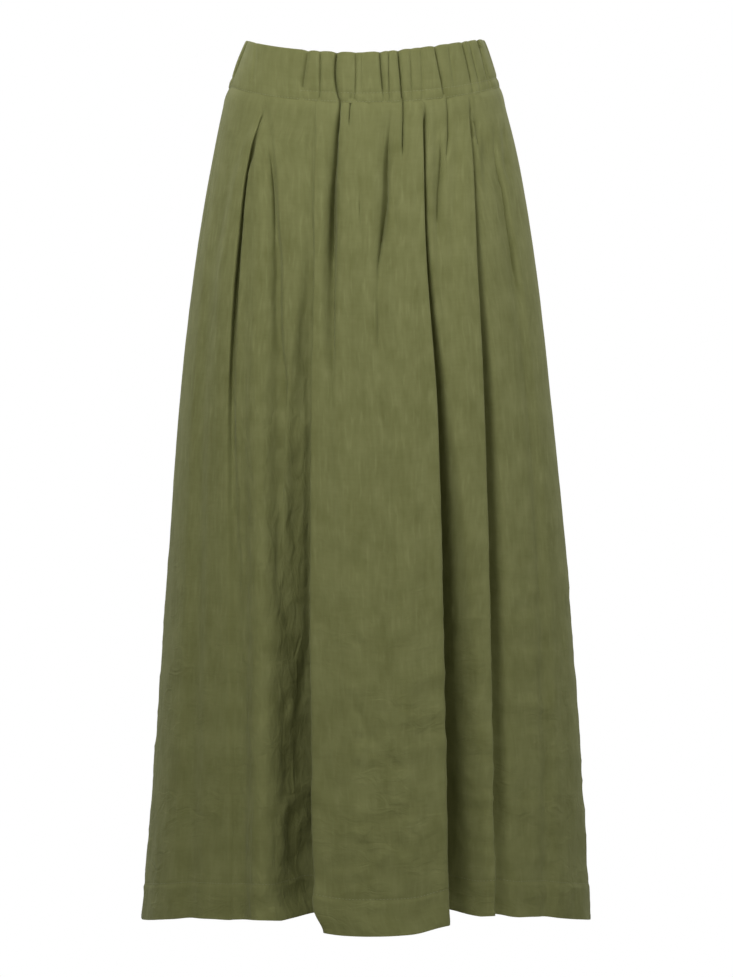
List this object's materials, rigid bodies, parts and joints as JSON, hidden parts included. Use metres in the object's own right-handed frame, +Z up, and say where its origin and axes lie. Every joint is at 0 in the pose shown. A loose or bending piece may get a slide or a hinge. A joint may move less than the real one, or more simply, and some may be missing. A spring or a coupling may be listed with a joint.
{
  "type": "midi skirt",
  "caption": "Long full linen skirt in its worn shape with no wearer: gathered elastic waist, stitched-down front pleats, side pockets, deep hem.",
  "frame": {"origin": "centre of the waist, inside the waistband, where the wearer's waist holds the skirt up", "axes": "+Z up, from hem to waist; -Y is the skirt's front; +X is on the viewer's right when the front is faced"},
  "size_m": [0.4495, 0.3844, 0.8773],
  "materials": {
    "linen": "matte olive green linen, woven from slubby yarn"
  },
  "bodies": {
    "root": {"skirt_front": "linen", "skirt_back": "linen", "waistband_front": "linen", "waistband_back": "linen", "pocket_left": "linen", "pocket_right": "linen"}
  },
  "joints": []
}
